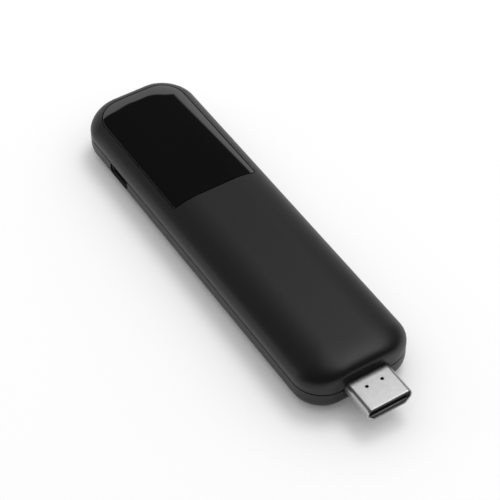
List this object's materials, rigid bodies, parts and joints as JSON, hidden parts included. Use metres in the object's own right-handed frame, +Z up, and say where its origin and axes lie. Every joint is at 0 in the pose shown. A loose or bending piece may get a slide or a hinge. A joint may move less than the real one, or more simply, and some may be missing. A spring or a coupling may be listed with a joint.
{
  "type": "streaming stick",
  "caption": "Slim media stick: rounded two-part plastic case, gloss inset panel, HDMI plug at one end, USB-C socket in one side.",
  "frame": {"origin": "under the middle of the whole length, plug included, on the surface the stick lies on", "axes": "+X along the stick towards the HDMI plug, +Z up out of the rear face, -Y towards the side with the USB socket"},
  "size_m": [0.1334, 0.034, 0.0142],
  "materials": {
    "case_plastic": "fine matte moulded texture",
    "panel_gloss": "polished",
    "adhesive": "double-sided tape",
    "plug_steel": "satin nickel plate",
    "can_metal": "tin plate",
    "moulded_insulator": "moulded",
    "contact_gold": "gold flash",
    "board": "solder mask",
    "screw_steel": "plated",
    "chip_black": "moulded",
    "ferrite": "ferrite",
    "ceramic": "fired",
    "thermal_pad": "soft silicone",
    "spreader_aluminium": "rolled sheet"
  },
  "bodies": {
    "root": {"rear_shell": "case_plastic", "front_shell": "case_plastic", "gloss_panel": "panel_gloss", "panel_adhesive": "adhesive", "hdmi_shell": "plug_steel", "hdmi_collar": "can_metal", "hdmi_insulator": "moulded_insulator", "hdmi_contacts_upper": "contact_gold", "hdmi_contacts_lower": "contact_gold", "main_board": "board", "board_screws": "screw_steel", "usb_shell": "plug_steel", "usb_tongue": "moulded_insulator", "usb_contacts": "contact_gold", "main_chip": "chip_black", "memory_chips": "chip_black", "flash_chip": "chip_black", "power_chip": "chip_black", "radio_module": "board", "radio_can": "can_metal", "inductors": "ferrite", "crystal": "can_metal", "capacitors": "ceramic", "shield_frame": "can_metal", "shield_lid": "can_metal", "front_can": "can_metal", "chip_pad": "thermal_pad", "rear_pad": "thermal_pad", "flash_pad": "thermal_pad", "front_pad": "thermal_pad", "rear_spreader": "spreader_aluminium", "front_sheet": "spreader_aluminium", "antenna_left": "can_metal", "antenna_right": "can_metal"}
  },
  "joints": []
}
